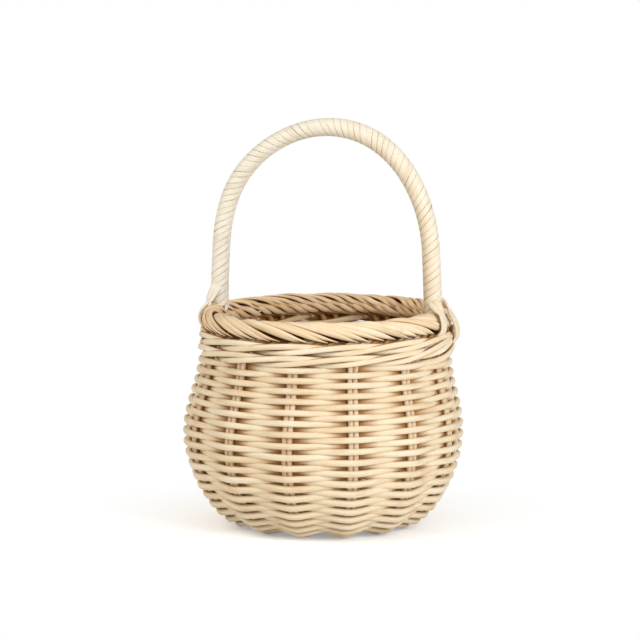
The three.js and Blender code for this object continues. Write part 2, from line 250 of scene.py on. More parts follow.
def lean(places):
    z = places[..., 2]
    aside = BELLY_LEAN * bell(z, *BELLY_LEAN_PLACE)
    aside = aside + TOP_LEAN * (np.clip(z - TOP_LEAN_START, 0, None) / TOP_LEAN_RISE) ** 2
    aside = aside + RIM_LEAN * bell(z, *RIM_LEAN_PLACE)
    narrow = 1 - LEGS_DRAWN_IN * bell(z, *LEGS_PLACE)
    at_rim = smooth(z, *RIM_FROM) * (1 - smooth(z, *RIM_TO))
    out = places.copy()
    out[..., 0] = places[..., 0] * narrow + aside * math.cos(LEAN_ANGLE)
    out[..., 1] = places[..., 1] + aside * math.sin(LEAN_ANGLE) * (z < BODY_LIMIT)
    out[..., 2] = z + at_rim * (RIM_LIFT + RIM_TILT * places[..., 1] / ROLL_RADIUS)
    return out


# Each rod shows a stretch of the cane's pattern of its own, moved at random by up to so much.
SHIFT_ALONG = 40000
SHIFT_ACROSS = 500
SHIFT_SEED = 20
rng = np.random.default_rng(SHIFT_SEED)


class Build:
    """Gathers swept solids into one mesh, with UVs in metres and a painted shade for each point."""

    def __init__(self):
        self.places, self.faces, self.uvs, self.shades = [], [], [], []
        self.count = 0

    def sweep(self, rings, across, along, shade):
        """A closed solid through rings (n, k, 3). Across (k + 1,) and along (n,) give its UVs in mm."""
        n, k = rings.shape[:2]
        self.places.append(lean(rings.reshape(-1, 3)) * MM)
        i, j = np.meshgrid(np.arange(n - 1), np.arange(k), indexing="ij")
        beside = (j + 1) % k
        quads = np.stack([i * k + j, i * k + beside, (i + 1) * k + beside, (i + 1) * k + j], -1)
        self.faces.extend((quads.reshape(-1, 4) + self.count).tolist())
        corners = [(j, i), (j + 1, i), (j + 1, i + 1), (j, i + 1)]
        uvs = np.stack([np.stack([across[u], along[v]], -1) for u, v in corners], -2)
        self.uvs.append(uvs.reshape(-1, 2) * MM)
        self.faces.append((self.count + np.arange(k))[::-1].tolist())
        self.faces.append((self.count + (n - 1) * k + np.arange(k)).tolist())
        for row in (0, n - 1):
            self.uvs.append(np.stack([across[:k], np.full(k, along[row])], -1) * MM)
        self.shades.append(np.clip(shade, 0, 1).reshape(-1))
        self.count += n * k

    def tube(self, path, radius, facing, shade, wide=1.0, thick=1.0, sides=12, square=2.0):
        """A rod along path. Facing (n, 3) is the direction in which wide scales it, thick scales it across.
        Square is the power of its section: 2 is round, more is nearer to a rounded square. Shade gives the
        painted shades of its faces from their directions."""
        path = np.asarray(path, float)
        tangent = unit(np.gradient(path, axis=0))
        normal = unit(facing - tangent * np.sum(facing * tangent, axis=1)[:, None])
        side = np.cross(tangent, normal)
        radius, wide, thick = (np.broadcast_to(size, (len(path),))[:, None, None]
                               for size in (radius, wide, thick))
        turn = np.arange(sides) / sides * TAU
        cosine = np.cos(turn)[None, :, None]
        sine = np.sin(turn)[None, :, None]
        ring = cosine * normal[:, None] * wide + sine * side[:, None] * thick
        fuller = (np.abs(cosine) ** square + np.abs(sine) ** square) ** (-1 / square)
        along = lengths(path) + rng.uniform(0, SHIFT_ALONG)
        across = np.arange(sides + 1) / sides * TAU * float(radius.mean()) + rng.uniform(0, SHIFT_ACROSS)
        faces = cosine * normal[:, None] + sine * side[:, None]
        self.sweep(path[:, None] + ring * fuller * radius, across, along, shade(faces))

    def piece(self, name, nodes, slot, material):
        mesh = bpy.data.meshes.new(name)
        mesh.from_pydata(np.concatenate(self.places).tolist(), [], self.faces)
        layer = mesh.uv_layers.new(name="UVMap")
        layer.data.foreach_set("uv", np.concatenate(self.uvs).astype(np.float32).ravel())
        # Each point's painted shade, which the materials turn to darker colours
        shade = mesh.attributes.new("painted_shade", "FLOAT", "POINT")
        shade.data.foreach_set("value", np.concatenate(self.shades).astype(np.float32))
        mesh.polygons.foreach_set("use_smooth", [len(face) == 4 for face in self.faces])
        mesh.materials.append(material)
        mesh.update()
        piece = bpy.data.objects.new(name, mesh)
        bpy.context.scene.collection.objects.link(piece)
        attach(piece, "root")
        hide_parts(*nodes)


# Materials
def srgb(red, green, blue):
    """A colour from its three values on a screen, each from 0 to 255."""
    def linear(value):
        value /= 255
        return value / 12.92 if value <= 0.04045 else ((value + 0.055) / 1.055) ** 2.4
    return (linear(red), linear(green), linear(blue), 1)


class Tree:
    """The nodes of a material or world, cleared and built anew."""

    def __init__(self, owner):
        owner.use_nodes = True
        self.tree = owner.node_tree
        self.tree.nodes.clear()

    def node(self, kind, inputs, **settings):
        """The outputs of a new node. Each input, by name or number, gets a value or a link from a socket."""
        made = self.tree.nodes.new(kind)
        for key, value in settings.items():
            setattr(made, key, value)
        for socket, value in inputs.items():
            if isinstance(value, bpy.types.NodeSocket):
                self.tree.links.new(value, made.inputs[socket])
            else:
                made.inputs[socket].default_value = value
        return made.outputs

    def times(self, a, b):
        return self.node("ShaderNodeMath", {0: a, 1: b}, operation="MULTIPLY")[0]

    def ramp(self, source, low, high, kind="SMOOTHSTEP"):
        """From 0 where the source is low to 1 where it is high."""
        inputs = {"Value": source, "From Min": low, "From Max": high}
        return self.node("ShaderNodeMapRange", inputs, interpolation_type=kind)[0]

    def blend(self, factor, first, second):
        """A colour between two. The mix node's colour sockets come after those for numbers and vectors."""
        return self.node("ShaderNodeMix", {0: factor, 6: first, 7: second}, data_type="RGBA")[2]


# The colours that painted shade gives the cane, and its deepest gaps. The dark one also tints the small
# marks. The peel has its own.
AMBER = srgb(200, 148, 88)
PIT = srgb(110, 68, 32)

# The cane's pattern: waves a metre across a rod and along it, and between which values of its noise each
# feature comes up
FIBRE_WAVES = (1600, 28, 1)
FIBRE_RANGE = (0.5, 0.8)
FIBRE_RELIEF = 0.0003
TONE_WAVES = (0, 7, 1)
TONE_RANGE = (0.3, 0.7)
PATCH_WAVES = (60, 45, 1)
PATCH_RANGE = (0.45, 0.8)
PATCH_TAN = 0.5
MARK_WAVES = (500, 160, 1)
MARK_RANGE = (0.72, 0.84)
MARK_PIT = 0.55
SPECULAR = 0.35

# Painted shades run from 0, bare cane, over amber to 1, the painted dark of the deepest gaps.
AMBER_SHADES = (0, 0.5)
PIT_SHADES = (0.4, 1)


def rattan(name, pale, straw, tan, amber=AMBER, pit=PIT, roughness=0.55, bump=0.25, fibre=FIBRE_WAVES,
           streak=0.5):
    """Peeled cane: long fibres, slow changes of tone along each rod, small dark marks, painted shade in
    recesses.
    """
    material = bpy.data.materials.new(name)
    tree = Tree(material)
    uv = tree.node("ShaderNodeUVMap", {}, uv_map="UVMap")[0]

    def noise(waves, detail, rough=0.55):
        place = tree.node("ShaderNodeMapping", {"Vector": uv, "Scale": waves})[0]
        inputs = {"Vector": place, "Scale": 1.0, "Detail": detail, "Roughness": rough}
        return tree.node("ShaderNodeTexNoise", inputs)[0]

    fibres = noise(fibre, detail=4.0, rough=0.6)
    tone = tree.ramp(noise(TONE_WAVES, detail=2.0), *TONE_RANGE)
    patches = tree.ramp(noise(PATCH_WAVES, detail=3.0), *PATCH_RANGE)
    marks = tree.ramp(noise(MARK_WAVES, detail=2.0, rough=0.7), *MARK_RANGE)
    shade = tree.node("ShaderNodeAttribute", {}, attribute_name="painted_shade")["Fac"]
    color = tree.blend(tone, straw, pale)
    color = tree.blend(patches, color, tree.blend(PATCH_TAN, straw, tan))
    color = tree.blend(tree.times(tree.ramp(fibres, *FIBRE_RANGE), streak), color, tan)
    color = tree.blend(marks, color, tree.blend(MARK_PIT, tan, pit))
    # Painted shade turns the colour to amber and then to the dark
    color = tree.blend(tree.ramp(shade, *AMBER_SHADES, kind="LINEAR"), color, amber)
    color = tree.blend(tree.ramp(shade, *PIT_SHADES, kind="LINEAR"), color, pit)
    relief = tree.node("ShaderNodeBump", {"Strength": bump, "Distance": FIBRE_RELIEF, "Height": fibres})[0]
    surface = tree.node("ShaderNodeBsdfPrincipled", {
        "Base Color": color, "Roughness": roughness, "Specular IOR Level": SPECULAR, "Normal": relief})[0]
    tree.node("ShaderNodeOutputMaterial", {"Surface": surface})
    return material


weaver_cane = rattan("weaver_cane", srgb(231, 216, 189), srgb(221, 199, 163), srgb(198, 160, 114))
stake_cane = rattan("stake_cane", srgb(238, 219, 189), srgb(226, 200, 161), srgb(196, 155, 106))
wale_cane = rattan("wale_cane", srgb(232, 218, 191), srgb(222, 201, 165), srgb(198, 160, 114))
border_cane = rattan("border_cane", srgb(232, 214, 183), srgb(219, 193, 155), srgb(190, 150, 102))
core_cane = rattan("core_cane", srgb(226, 200, 158), srgb(208, 176, 130), srgb(176, 136, 92))
peel = rattan("peel", srgb(232, 226, 211), srgb(228, 219, 201), srgb(208, 191, 162),
              amber=srgb(206, 170, 112), pit=srgb(146, 104, 62),
              roughness=0.48, bump=0.15, fibre=(1300, 22, 1), streak=0.3)

# The painted shades of a rod's faces, where shade would fall. A range says how far a face looks a given
# way where its shade begins and where it is full.
BEHIND_SHADE = 0.7
BEHIND_RANGE = (0.1, 0.95)
INSIDE_SHADE = 0.12
INSIDE_RANGE = (-0.2, 0.7)
FLANK_SHADE = 0.85
FLANK_RANGE = (-0.7, -0.2)
FRONT_RANGE = (0.15, 0.6)


def looking(faces, way):
    """How far each face of a rod looks the way given for its place: from 1, straight along it, to -1."""
    return np.sum(faces * way[:, None], axis=-1)


def even_shade(shade):
    def shades(faces):
        return np.full(faces.shape[:2], shade)
    return shades


def painted_recess_shade(wave, outward):
    """Painted shade on the faces that a weaver turns to the stakes, and on the inside of the basket."""
    def shades(faces):
        facing = looking(faces, outward)
        behind = BEHIND_SHADE * smooth(-wave[:, None] * facing, *BEHIND_RANGE)
        return behind + INSIDE_SHADE * smooth(-facing, *INSIDE_RANGE)
    return shades


def painted_flank_shade(inner, outward):
    """The painted shades of inner, and more painted shade where a strand lies against the next."""
    def shades(faces):
        facing = looking(faces, outward)
        return inner(faces) + FLANK_SHADE * (1 - smooth(facing, *FRONT_RANGE)) * smooth(facing, *FLANK_RANGE)
    return shades


# Plain weavers: the spiral over one stake pair and behind the next, on the floor and up the side. Reaches
# along it are in stakes passed.
POINTS_PER_STAKE = 16
ROD_SIDES = 14
ROD_SQUARE = 2.6
ROD_END_GAP = 0.02
TURN_REACH = 6
ROUND_SHARE = 0.25
STRAIGHT_SHARE = 0.5

# Half a rod's width, how far it strays from its row, and how it seats. It is flattened on the floor and
# pressed against the stakes. The ground limits its seat on the floor, and less so where the wall rises.
ROD_HALF = 1.6
ROD_HALF_WANDER = 0.04
ROD_HALF_REACH = 50
ROD_HALF_IN_FRONT = 0.08
ROD_WANDER = 0.13
ROD_WANDER_REACH = 7
ROD_WANDER_LOST_ON_FLOOR = 0.7
ROD_FLATTENED_ON_FLOOR = 0.3
ROD_PRESS = 0.15
ROOM_OFF_FLOOR = 4

# A rod's height as a share of its width. Low on the wall the rods are taller, most of all behind the stakes,
# so that they close up.
ROD_HEIGHT = 1.05
ROD_HEIGHT_LOW = 0.13
BEHIND_HEIGHT = 0.18
BEHIND_HEIGHT_LOW = 0.3
BEHIND_FROM = 0.3
BEHIND_FULL = 0.8
LOW_PLACE = (25, 16)


def spiral(count):
    """How far along the wall a weaver lies once it has passed so many stakes."""
    count = np.asarray(count, float)
    room = TURN_ROOM * smooth(count, FLOOR_END - TURN_REACH, FLOOR_END + TURN_REACH)
    return FIRST_ROW + room + ROW_PITCH * count / POSITIONS


def over_wave(count):
    """In front (1) and behind (-1) in turn: near the stakes rounded, between them nearly straight."""
    cosine = np.cos(math.pi * count)
    straight = 1 - 2 * np.abs((count % 2 + 1) % 2 - 1)
    return ROUND_SHARE * cosine + ROUND_SHARE * cosine ** 3 + STRAIGHT_SHARE * straight


def weave_path(counts, along, wave, seat):
    """The path of a rod that swings a seat to each side of the wall's line, and the way out of the wall."""
    point, normal = WALL.at(along)
    angle = counts * STEP
    place = point + normal * (wave * seat)[:, None]
    return polar(place[:, 0], place[:, 1], angle), polar(normal[:, 0], normal[:, 1], angle)


def plain_weaver(name, nodes, start, end, seed):
    counts = np.linspace(start, end, int((end - start) * POINTS_PER_STAKE) + 1)
    wave = over_wave(counts)
    on_floor = 1 - smooth(counts, FLOOR_END - 2 * POSITIONS, FLOOR_END + POSITIONS)
    flat = 1 - ROD_FLATTENED_ON_FLOOR * on_floor
    size = ROD_HALF + ROD_HALF_WANDER * wander(counts, ROD_HALF_REACH, seed + 1) + ROD_HALF_IN_FRONT * wave
    off_row = ROD_WANDER * wander(counts, ROD_WANDER_REACH, seed + 2)
    along = spiral(counts) + off_row * (1 - ROD_WANDER_LOST_ON_FLOOR * on_floor)
    # The wave stands a little lower over each stake than over the gap between the two of a pair.
    spacing = WALL.at(along)[0][:, 0] * STEP
    seat = (STAKE / 2 + size * flat - ROD_PRESS) / over_wave(PITCH / 2 / spacing)
    seat = np.minimum(seat, FLOOR_HEIGHT - size * flat + ROOM_OFF_FLOOR * (1 - on_floor))
    path, facing = weave_path(counts, along, wave, seat)
    low = bell(path[:, 2], *LOW_PLACE)
    behind = smooth(-wave, BEHIND_FROM * (1 - low), BEHIND_FULL)
    height = ROD_HEIGHT + ROD_HEIGHT_LOW * low + (BEHIND_HEIGHT + BEHIND_HEIGHT_LOW * low) * behind
    build = Build()
    build.tube(path, size, facing, painted_recess_shade(wave, facing), flat, height, ROD_SIDES, ROD_SQUARE)
    build.piece(name, nodes, "weaver_rattan", weaver_cane)


def plain_weavers(part, rods, start, end, seed):
    """The spiral from start to end, cut into rods whose joins lie behind a stake."""
    marks = [start]
    for i in range(1, rods):
        mark = round(start + (end - start) * i / rods)
        marks.append(mark + 1 - mark % 2)
    marks.append(end)
    for i in range(rods):
        plain_weaver(f"{part}_rod_{i + 1}", [f"{part}_{i + 1}"], marks[i] + ROD_END_GAP,
                     marks[i + 1] - ROD_END_GAP, seed + SEEDS_PER_ROD * i)


# Wale: three rods side by side for two rounds, each over two stakes and behind the third. Its four layers
# share the room between the last plain row and the roll. A rod winds about the line one layer up in its
# first round, and about the line three layers up in its second.
WALE_ROUNDS = 2
WALE_LAYERS = 4
FIRST_ROUND_LAYERS = 1
SECOND_ROUND_LAYERS = 3
ROUND_CHANGE = 1.5
WALE_REACH = WALL.length + 1.0
WALE_END_GAP = 0.03
WALE_HALF = 1.45
WALE_HALF_IN_FRONT = 0.3
WALE_HALF_WANDER = 0.05
WALE_HALF_REACH = 30
WALE_WANDER = 0.12
WALE_WANDER_REACH = 6
WALE_SEAT_IN_FRONT = 0.35
WALE_WIDE = 0.95
WALE_HEIGHT = 1 / 3.3
WALE_SQUARE = 2.3

# A wale rod's phase counts the three stakes of its stitch, from a little before the first. It lies lowest
# at both ends of the stitch, and highest at the middle one of these places.
STITCH_START = -0.6
STITCH_TOP = 1.05
STITCH = [STITCH_START, STITCH_TOP, STITCH_START + WALE_RODS]
STITCH_CLIMB = 0.68


def wale_layer(since, layers):
    """Where a line so many layers up lies, and the height of a layer, since stakes after the wale's start."""
    below = spiral(SIDE_END) + ROW_PITCH * (since / POSITIONS - 0.5)
    layer = (WALE_REACH - below) / WALE_LAYERS
    return below + layer * layers, layer


def wale_rod(rod):
    seed = WALE_SEED + SEEDS_PER_ROD * rod
    passed = WALE_ROUNDS * POSITIONS
    start = SIDE_END + rod - 1 + WALE_END_GAP
    end = SIDE_END + rod + passed - WALE_END_GAP
    counts = np.linspace(start, end, passed * POINTS_PER_STAKE + 1)
    phase = (counts - SIDE_END - rod - STITCH_START) % WALE_RODS + STITCH_START
    front = smooth(phase, -1, 0) * (1 - smooth(phase, 1, 2)) + smooth(phase, 2, 3)
    wave = -1 + 2 * front
    since = np.clip(counts - SIDE_END, 0, passed)
    second = smooth(since, POSITIONS - ROUND_CHANGE, POSITIONS + ROUND_CHANGE)
    first_base, first_layer = wale_layer(since, FIRST_ROUND_LAYERS)
    second_base, second_layer = wale_layer(since - POSITIONS, SECOND_ROUND_LAYERS)
    base = first_base + (second_base - first_base) * second
    layer = first_layer + (second_layer - first_layer) * second
    climb = -STITCH_CLIMB * layer * np.cos(math.pi * np.interp(phase, STITCH, [0, 1, 2]))
    along = base + climb + WALE_WANDER * wander(counts, WALE_WANDER_REACH, seed + 1)
    size = WALE_HALF + WALE_HALF_IN_FRONT * front + WALE_HALF_WANDER * wander(counts, WALE_HALF_REACH, seed)
    path, facing = weave_path(counts, along, wave, STAKE / 2 + WALE_HALF + WALE_SEAT_IN_FRONT * front)
    build = Build()
    build.tube(path, size, facing, painted_flank_shade(painted_recess_shade(wave, facing), facing), WALE_WIDE, layer * WALE_HEIGHT,
               ROD_SIDES, WALE_SQUARE)
    build.piece(f"wale_strand_{rod + 1}", [f"wale_rod_{rod + 1}"], "wale_rattan", wale_cane)


plain_weavers("floor_weaver", FLOOR_RODS, 0, FLOOR_END, FLOOR_SEED)
plain_weavers("side_weaver", SIDE_RODS, FLOOR_END, SIDE_END, SIDE_SEED)
for rod in range(WALE_RODS):
    wale_rod(rod)

# Border: a strand's turn is how far it has gone round the roll, from below over the inner side and the top
# to the outside. Ranges and reaches of turn are in radians.
STRAND_POINTS = 52
STRAND_TURN = math.radians(326)

# How far a strand lies from the middle of the roll. Along the inner side of the roll runs a groove.
GROOVE = math.radians(98)
GROOVE_REACH = 0.3
GROOVE_DEPTH = 1.7
COIL_WANDER = 0.3
COIL_WAVE = 0.25
COIL_WIDENS = 0.9
COIL_WIDENING = (math.radians(225), math.radians(320))

# How a strand strays along the ring: by chance and towards its neighbour, as shares of a strand's step. Near
# their ends all strands sweep on, and at the groove they take a step.
DRIFT = 0.16
DRIFT_LIMIT = 0.3
PAIRED = 0.12
PAIRING = (1, 2.6)
END_SWEEP = math.radians(8)
END_SWEEP_START = math.radians(150)
GROOVE_STEP = math.radians(3)
GROOVE_STEP_REACH = 0.35
GROOVE_STEP_BACK = (0, 2.6)

# A strand's section: wider and thinner than the stake, tilted, pinched in the groove, and pointed at its tip
STRAND_WIDER = 0.42
STRAND_THINNER = 0.28
BOLD_WANDER = 0.07
FULL_BY = 0.8
PINCH = 0.6
TILT = 0.42
TILT_WANDER = 0.12
TILTING = (0.3, 1.0)
TIP_START = math.radians(275)
TIP_NARROWS = 0.8
TIP_THINS = 0.65

# Painted shades of the stakes and strands: on the faces turned into the roll, on the ring's inner side, and
# in the groove. The roll's painted shades come in over this height above the wale.
STAKE_SHADE = 0.5
ROLL_SHADE = 0.4
AWAY_RANGE = (-0.42, 0.2)
RING_SHADE = 0.14
RING_RANGE = (-0.1, 0.7)
GROOVE_SHADE = 0.12
GROOVE_SHADE_REACH = 0.22
ROLL_SHADE_RISE = 2

# Stakes: how near each other the two of a pair stand, as a share, and how a rod leads into the roll. The
# strand's own path is kept from this point on.
STAKE_SQUARE = 2.4
STAKE_MORE = 0.1
STAKE_PAIR_SHARE = 0.97
STAKE_POINTS = 96
STAKE_LEFT_FREE = 0.6
KEPT = 5
LEAD_POINTS = 10
LEAD_SKIPPED = 4
BRIDGE_POINTS = 40


def strand_angle(strand):
    """Where a strand rises. Those beside the handle's tongues are parted."""
    slope = math.atan2(TAU * ROLL_COIL, ROLL_ADVANCE * ROLL_RADIUS)
    room = (TONGUE / 2 + CLEARANCE + STAKE / 2) / math.sin(slope) / ROLL_RADIUS
    parting = max(0, 2 * (room - STRAND_STEP / 2))
    place = (strand + 0.5) * STRAND_STEP
    since = (place + STRANDS_LEANT * STRAND_STEP) % math.pi / math.pi
    return place + parting * (0.5 - since)


def strand_points(strand, seed):
    """From just above the wale: in under the roll, up its inner side, over and down outside. Gives the path,
    the direction of the strand's width, that out of the roll, and half its width and thickness."""
    draw = np.random.default_rng(STRAND_SEED + seed)
    turn = np.linspace(0, STRAND_TURN, STRAND_POINTS)
    groove = bell(turn, GROOVE, GROOVE_REACH)
    coil = ROLL_COIL - GROOVE_DEPTH * groove + COIL_WANDER * draw.normal() * np.sin(turn / 2) ** 2
    coil = coil + COIL_WAVE * np.sin(2 * turn + draw.uniform(0, TAU))
    coil = coil + COIL_WIDENS * smooth(turn, *COIL_WIDENING)
    drift = np.clip(DRIFT * draw.normal(), -DRIFT_LIMIT, DRIFT_LIMIT) * np.sin(turn / 2)
    drift = drift + (PAIRED if strand % 2 == 0 else -PAIRED) * smooth(turn, *PAIRING)
    leant = STRANDS_LEANT * STRAND_STEP - ROLL_ADVANCE / 2
    here = strand_angle(strand) + leant + ROLL_ADVANCE * turn / TAU + STRAND_STEP * drift
    here += END_SWEEP * smooth(turn, END_SWEEP_START, STRAND_TURN)
    step = smooth(turn, GROOVE - GROOVE_STEP_REACH, GROOVE + GROOVE_STEP_REACH)
    here += GROOVE_STEP * (step - smooth(turn, *GROOVE_STEP_BACK))
    lying = polar(np.cos(turn), -np.sin(turn), here)
    radial = polar(-np.sin(turn), -np.cos(turn), here)
    tilt = (TILT + TILT_WANDER * draw.normal()) * smooth(turn, *TILTING)
    facing = lying * np.cos(tilt)[:, None] + radial * np.sin(tilt)[:, None]
    full = smooth(turn, 0, FULL_BY) * (1 - PINCH * groove)
    tip = smooth(turn, TIP_START, STRAND_TURN)
    bold = 1 + BOLD_WANDER * draw.normal()
    wide = STAKE / 2 + STRAND_WIDER * bold * full - TIP_NARROWS * tip
    thick = STAKE / 2 - STRAND_THINNER * full - TIP_THINS * tip
    path = polar(ROLL_RADIUS - coil * np.sin(turn), ROLL_HEIGHT - coil * np.cos(turn), here)
    return path, facing, radial, wide, thick


def painted_roll_shade(outward, places):
    """Painted shade on the faces that a strand turns to its neighbours and into the roll, and in the groove.
    Painted shade also makes the inner side of the basket darker than the outer."""
    around = np.linalg.norm(places[:, :2], axis=1)
    away = places * LEVEL / around[:, None]
    above = smooth(places[:, 2], WALE_TOP, WALE_TOP + ROLL_SHADE_RISE)
    turn = np.arctan2(ROLL_RADIUS - around, ROLL_HEIGHT - places[:, 2])
    groove = GROOVE_SHADE * bell(turn, GROOVE, GROOVE_SHADE_REACH) * above
    inward = -np.sum(outward * away, axis=-1) * above
    ring = RING_SHADE * smooth(inward, *RING_RANGE) + groove
    most = STAKE_SHADE + ROLL_SHADE * above

    def shades(faces):
        return most[:, None] * smooth(-looking(faces, outward), *AWAY_RANGE) + ring[:, None]
    return shades


def stake_rise(position, side):
    """The stake's centre line from the cross's edge up to the wale's top, the way out, and its strand."""
    centre = position * STEP
    strand = position * STRANDS_AT_POSITION + (0 if side > 0 else -1)
    along = np.linspace(LEVEL_RADIUS, WALL.length - STAKE_LEFT_FREE, STAKE_POINTS)
    point, normal = WALL.at(along)
    paired = PITCH / 2 * STAKE_PAIR_SHARE
    spread = (strand_angle(strand) - centre) * side * NECK_RADIUS
    aside = paired + (spread - paired) * smooth(along, WALE_START, WALL.length)
    angle = centre + side * np.arcsin(aside / point[:, 0])
    facing = polar(normal[:, 0], normal[:, 1], angle)
    return polar(point[:, 0], point[:, 1], angle), facing, strand


def full_stake(position, side, seed):
    """From the cross to its tip: its path, the way it faces, the way out, half its width and thickness."""
    rise, outward, strand = stake_rise(position, side)
    roll, facing, radial, wide, thick = strand_points(strand, seed)
    lead = spline(np.vstack([rise[-3:], roll[[2, KEPT]]]), LEAD_POINTS)[LEAD_SKIPPED:-1]
    turning = outward[-1] + (facing[KEPT] - outward[-1]) * np.linspace(0, 1, len(lead))[:, None]
    plain = np.full(len(rise) - 2 + len(lead), STAKE / 2 + STAKE_MORE)
    return (np.vstack([rise[:-2], lead, roll[KEPT:]]),
            np.vstack([outward[:-2], turning, facing[KEPT:]]),
            np.vstack([outward[:-2], turning, radial[KEPT:]]),
            np.concatenate([plain, wide[KEPT:]]),
            np.concatenate([plain, thick[KEPT:]]))


def draw_stake(name, nodes, slot, material, stake):
    path, facing, outward, wide, thick = stake
    build = Build()
    build.tube(path, 1.0, facing, painted_roll_shade(outward, path), wide, thick, square=STAKE_SQUARE)
    build.piece(name, nodes, slot, material)


def cross_places(start, end, side, layer):
    """The two bends of a through stake beside the centre line of its pair, which crosses the floor."""
    ends = [polar(CROSS_RADIUS, 0, position * STEP) for position in (start, end)]
    inward = -unit(ends[0])
    across = unit(ends[1] - ends[0])
    outward = unit(ends[1])

    def mitre(one, other):
        total = np.cross(UP, one) + np.cross(UP, other)
        return total * side * PITCH / (total @ total)

    places = [ends[0] + mitre(inward, across), ends[1] + mitre(across, outward)]
    for place in places:
        place[2] = FLOOR_HEIGHT + layer * PITCH / 2
    return places


def through_stake(number, start, end, layer, letter, side):
    """Up one wall and up the other. Between them one smooth bridge passes the bends at the floor's cross."""
    seed = SEEDS_PER_ROD * number + side
    one = full_stake(start, -side, seed)
    other = full_stake(end, side, seed + OTHER_END_SEED)
    marks = np.vstack([one[0][3:KEPT][::-1], cross_places(start, end, side, layer), other[0][3:KEPT]])
    down = np.tile(-UP, (BRIDGE_POINTS, 1))
    plain = np.full(BRIDGE_POINTS, STAKE / 2)
    bridge = (spline(marks, BRIDGE_POINTS), down, down, plain, plain)
    stake = [np.concatenate([a[KEPT:][::-1], link, b[KEPT:]]) for a, link, b in zip(one, bridge, other)]
    name = f"{number + 1}{letter}"
    draw_stake(f"through_stake_rod_{name}", [f"through_stake_{name}"], "stake_rattan", stake_cane, stake)


# Bye-stakes: the two outer strands of each position, from inside the top of the wale
BYE_STAKE_HALF = 1.42
BYE_STAKE_LEAN = math.radians(1.5)
BYE_STAKE_DEPTH = 1.5
BYE_STAKE_STUB = 0.6


def bye_stake(position, letter, place):
    strand = position * STRANDS_AT_POSITION + place
    roll, facing, radial, wide, thick = strand_points(strand, BYE_STAKE_SEED + strand)
    base = strand_angle(strand)
    foot = polar(NECK_RADIUS, WALE_TOP - BYE_STAKE_DEPTH, base - BYE_STAKE_LEAN)
    stub = polar(NECK_RADIUS, WALE_TOP + BYE_STAKE_STUB, base)
    lead = spline(np.vstack([foot, stub, roll[[3, KEPT]]]), LEAD_POINTS)[:-1]
    plain = np.full(len(lead), BYE_STAKE_HALF)
    rows = np.concatenate([np.full(len(lead), KEPT), np.arange(KEPT, len(roll))])
    stake = (np.vstack([lead, roll[KEPT:]]), facing[rows], radial[rows],
             np.concatenate([plain, wide[KEPT:]]), np.concatenate([plain, thick[KEPT:]]))
    name = f"{position + 1:02d}{letter}"
    draw_stake(f"bye_stake_rod_{name}", [f"bye_stake_{name}"], "strand_rattan", border_cane, stake)


# Each pair of through stakes: the positions it joins, and its layer at the cross, below or above. The last
# position has the pair of half length.
CROSSINGS = [(1, 5, -1), (0, 6, -1), (-1, -5, -1), (-2, 2, 1), (-3, 3, 1), (-4, 4, 1)]
HALF_STAKE_POSITION = (POSITIONS + 1) // 2
PAIR = (("a", 1), ("b", -1))
BYE_PAIR = (("a", -2), ("b", 1))

for number, (start, end, layer) in enumerate(CROSSINGS):
    for letter, side in PAIR:
        through_stake(number, start, end, layer, letter, side)
for letter, side in PAIR:
    draw_stake(f"half_stake_rod_{letter}", [f"half_stake_{letter}"], "stake_rattan", stake_cane,
               full_stake(HALF_STAKE_POSITION, side, HALF_STAKE_SEED + side))
for position in range(POSITIONS):
    for letter, place in BYE_PAIR:
        bye_stake(position, letter, place)

# Handle: one cane in the XZ plane, its feet inside the roll
FOOT_IN_ROLL = 5.5
CORE_POINTS = 180
CORE_SIDES = 20
CORE_MORE = 0.1

# Wrap: flat strands of peel wound round the core side by side
WRAP_TURNS = 14.2
WRAP_STEPS = 40
WRAP_THICK = 1.3
WRAP_RADIUS = 5
WRAP_WANDER = 0.03
WRAP_WANDER_REACH = 2.5
# Section of one flat strand: how far across its width, as a share, and how full it stands there
WRAP_SECTION = [(0, 0.3), (0.06, 0.65), (0.2, 0.85), (0.45, 0.95),
                (0.7, 1), (0.9, 0.96), (0.97, 0.8), (1, 0.3)]
WRAP_UNDERSIDE = 3.5
WRAP_SHIFT_ACROSS = 90
WRAP_SHIFT_ALONG = 3000

# Seams: they come and go between the strands, and are plainer on the inside of the arch
SEAM_DEPTH = 0.8
SEAM_OPEN = 0.38
SEAM_WANDER = 0.5
SEAM_WANDER_REACH = 1.7
SEAM_INSIDE = 0.3
SEAM_LEAST = 0.08
# Painted shade along the seams' grooves, fuller on the inside of the arch
SEAM_SHADE = 0.52
SEAM_SHADE_EVEN = 0.55
SEAM_SHADE_INSIDE = 0.45

# Painted shade on the peel: darker towards the right foot, and more so on the inside of the arch
RIGHT_FOOT_SHADE = 0.14
ARCH_INSIDE_SHADE = 0.05
RIGHT_FOOT_SHADE_SHARES = (0.05, 0.75)


def handle_points(n=160, leg_steps=10):
    leg = [(ROLL_RADIUS, FOOT_HEIGHT - FOOT_IN_ROLL), (ROLL_RADIUS, FOOT_HEIGHT)]
    leg += [(ROLL_RADIUS - HANDLE_LEAN * i / leg_steps, FOOT_HEIGHT + LEG_HEIGHT * i / leg_steps)
            for i in range(1, leg_steps)]
    turns = [math.pi * i / n for i in range(n + 1)]
    arch = [(ARCH_HALF_SPAN * math.cos(turn), SPRING_HEIGHT + ARCH_RISE * math.sin(turn)) for turn in turns]
    return leg + arch + [(-r, z) for r, z in reversed(leg)]


HANDLE = Line(handle_points())


def upright(plane):
    """Points of the handle's plane as places."""
    return np.stack([plane[..., 0], np.zeros_like(plane[..., 0]), plane[..., 1]], -1)


